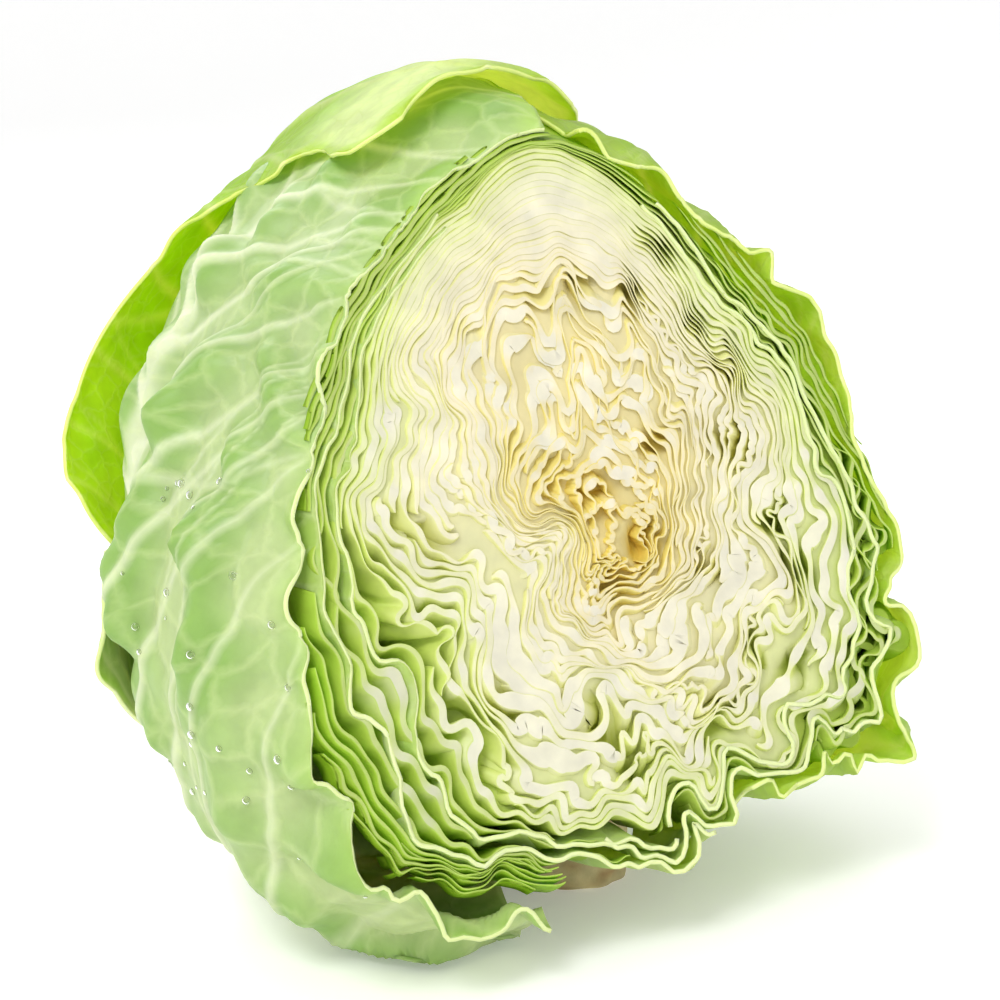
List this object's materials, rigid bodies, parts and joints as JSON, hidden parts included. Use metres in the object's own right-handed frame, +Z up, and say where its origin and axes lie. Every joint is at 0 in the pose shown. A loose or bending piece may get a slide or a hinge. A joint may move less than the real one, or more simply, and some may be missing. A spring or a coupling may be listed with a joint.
{
  "type": "cut cabbage head",
  "caption": "Round cabbage head with a flat leaning cut face that shows its nested leaves, wrapped in loose outer leaves and standing on its cut stalk.",
  "frame": {"origin": "on the table, under the middle of the head's bounding box", "axes": "+Z up, the cut face looks towards -Y and leans back by 20 degrees, +X to the right as one faces the cut"},
  "size_m": [0.2085, 0.1943, 0.2097],
  "materials": {
    "stalk_flesh": "matte, slightly dry cut stalk, cream with a brown rim",
    "heart_flesh": "moist satin, yellow heart leaf",
    "inner_flesh": "moist satin, pale green-white inner leaf",
    "fresh_blade": "moist satin, fresh green leaf blade with a pale rim",
    "pale_blade": "waxy satin, pale blue-green outer leaf blade",
    "bright_blade": "satin, bright yellow-green outer leaf blade"
  },
  "bodies": {
    "root": {"stalk": "stalk_flesh", "heart_leaves": "heart_flesh", "tight_leaves": "inner_flesh", "loose_leaf_1": "fresh_blade", "loose_leaf_2": "fresh_blade", "loose_leaf_3": "fresh_blade", "loose_leaf_4": "fresh_blade", "wrapper_leaf_right": "bright_blade", "wrapper_leaf_left": "pale_blade", "wrapper_leaf_back_left": "bright_blade", "wrapper_leaf_back": "pale_blade", "wrapper_leaf_low": "pale_blade"}
  },
  "joints": []
}
